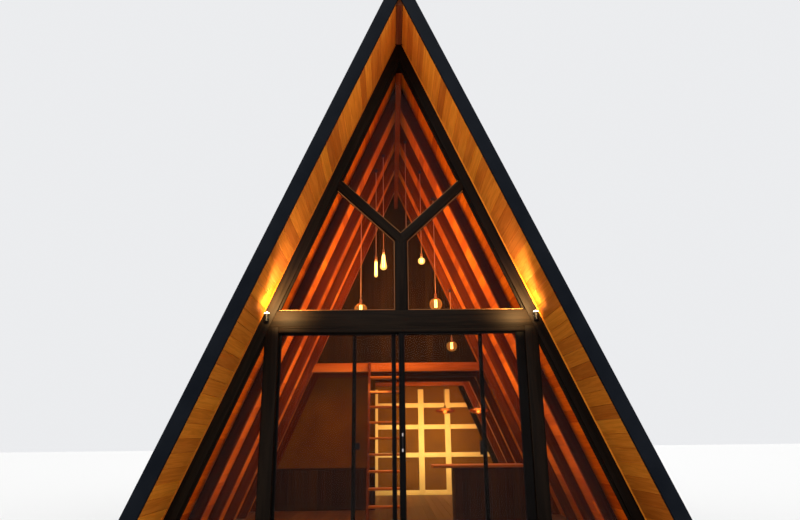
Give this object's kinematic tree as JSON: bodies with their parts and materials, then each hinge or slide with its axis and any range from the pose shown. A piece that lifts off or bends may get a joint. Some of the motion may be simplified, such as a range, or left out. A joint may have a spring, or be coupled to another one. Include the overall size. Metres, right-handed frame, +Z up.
{
  "type": "a_frame_cabin",
  "caption": "Timber a-frame cabin with a glazed front, Y-shaped glazing frame, sliding glass door with insect screen, exposed rafters, loft and ladder stair.",
  "frame": {"origin": "on the ground below the middle of the roof, halfway along the ridge", "axes": "+X to the right seen from outside the glazed front, +Y from the glazed front to the back wall, +Z up"},
  "size_m": [6.3486, 10.66, 7.369],
  "materials": {
    "foundation": "dark stained",
    "floor_boards": "oiled",
    "roof_panel": "raw",
    "soffit_boards": "varnished",
    "roof_sheet": "matte",
    "bargeboard_paint": "painted",
    "rafter_timber": "oiled",
    "dark_timber": "dark stained",
    "glazing": "clear",
    "door_frame_coat": "satin",
    "bright_steel": "brushed",
    "insect_screen": "woven",
    "black_hardware": "satin",
    "wall_boards": "stained",
    "pale_timber": "painted",
    "ochre_plaster": "trowelled",
    "stair_timber": "oiled",
    "kitchen_front": "painted",
    "worktop_wood": "oiled",
    "lamp_flex": "woven",
    "lamp_brass": "brushed",
    "lamp_glass": "clear",
    "shade_glass": "clear"
  },
  "bodies": {
    "house": {"ground_beams": "foundation", "end_skirts": "foundation", "floor_deck": "floor_boards", "roof_panel_left": "roof_panel", "roof_panel_right": "roof_panel", "lining_left": "soffit_boards", "lining_right": "soffit_boards", "roof_cover_left": "roof_sheet", "roof_cover_right": "roof_sheet", "ridge_cap": "roof_sheet", "ridge_beam": "rafter_timber", "bargeboards_left": "bargeboard_paint", "bargeboards_right": "bargeboard_paint", "rafters_left": "rafter_timber", "rafters_right": "rafter_timber", "gable_rafters_left": "dark_timber", "gable_rafters_right": "dark_timber", "tie_beams": "dark_timber", "central_post": "dark_timber", "arm_left": "dark_timber", "arm_right": "dark_timber", "door_post_left": "dark_timber", "door_post_right": "dark_timber", "kite_window_frame": "dark_timber", "lower_window_frames": "dark_timber", "side_window_frames": "dark_timber", "window_panes": "glazing", "door_head": "dark_timber", "door_guides": "dark_timber", "door_sill": "dark_timber", "door_rails": "bright_steel", "fixed_door_frame": "door_frame_coat", "fixed_door_pane": "glazing", "back_wall": "wall_boards", "back_wall_posts": "pale_timber", "back_wall_rails": "pale_timber", "loft_edge_beam": "rafter_timber", "loft_joists": "rafter_timber", "loft_deck": "floor_boards", "loft_wall": "wall_boards", "lower_partition": "ochre_plaster", "stair_stringers": "stair_timber", "stair_treads": "stair_timber", "kitchen_unit": "kitchen_front", "kitchen_doors": "kitchen_front", "kitchen_worktop": "worktop_wood", "spotlights": "black_hardware", "lamp_hooks": "black_hardware", "lamp_flexes": "lamp_flex", "lamp_holders": "lamp_brass", "lamp_bulbs": "lamp_glass", "lamp_shades": "shade_glass"},
    "glass_door": {"sliding_door_frame": "door_frame_coat", "sliding_door_pane": "glazing", "sliding_door_fittings": "bright_steel"},
    "screen_door": {"screen_frame": "door_frame_coat", "screen_mesh": "insect_screen", "screen_fittings": "black_hardware"}
  },
  "joints": [
    {"name": "glass_door_slide", "type": "slide", "parent": "house", "child": "glass_door", "axis": [-1, 0, 0], "range_m": [0, 1.3]},
    {"name": "screen_slide", "type": "slide", "parent": "house", "child": "screen_door", "axis": [1, 0, 0], "range_m": [-0.87, 0.49]}
  ]
}
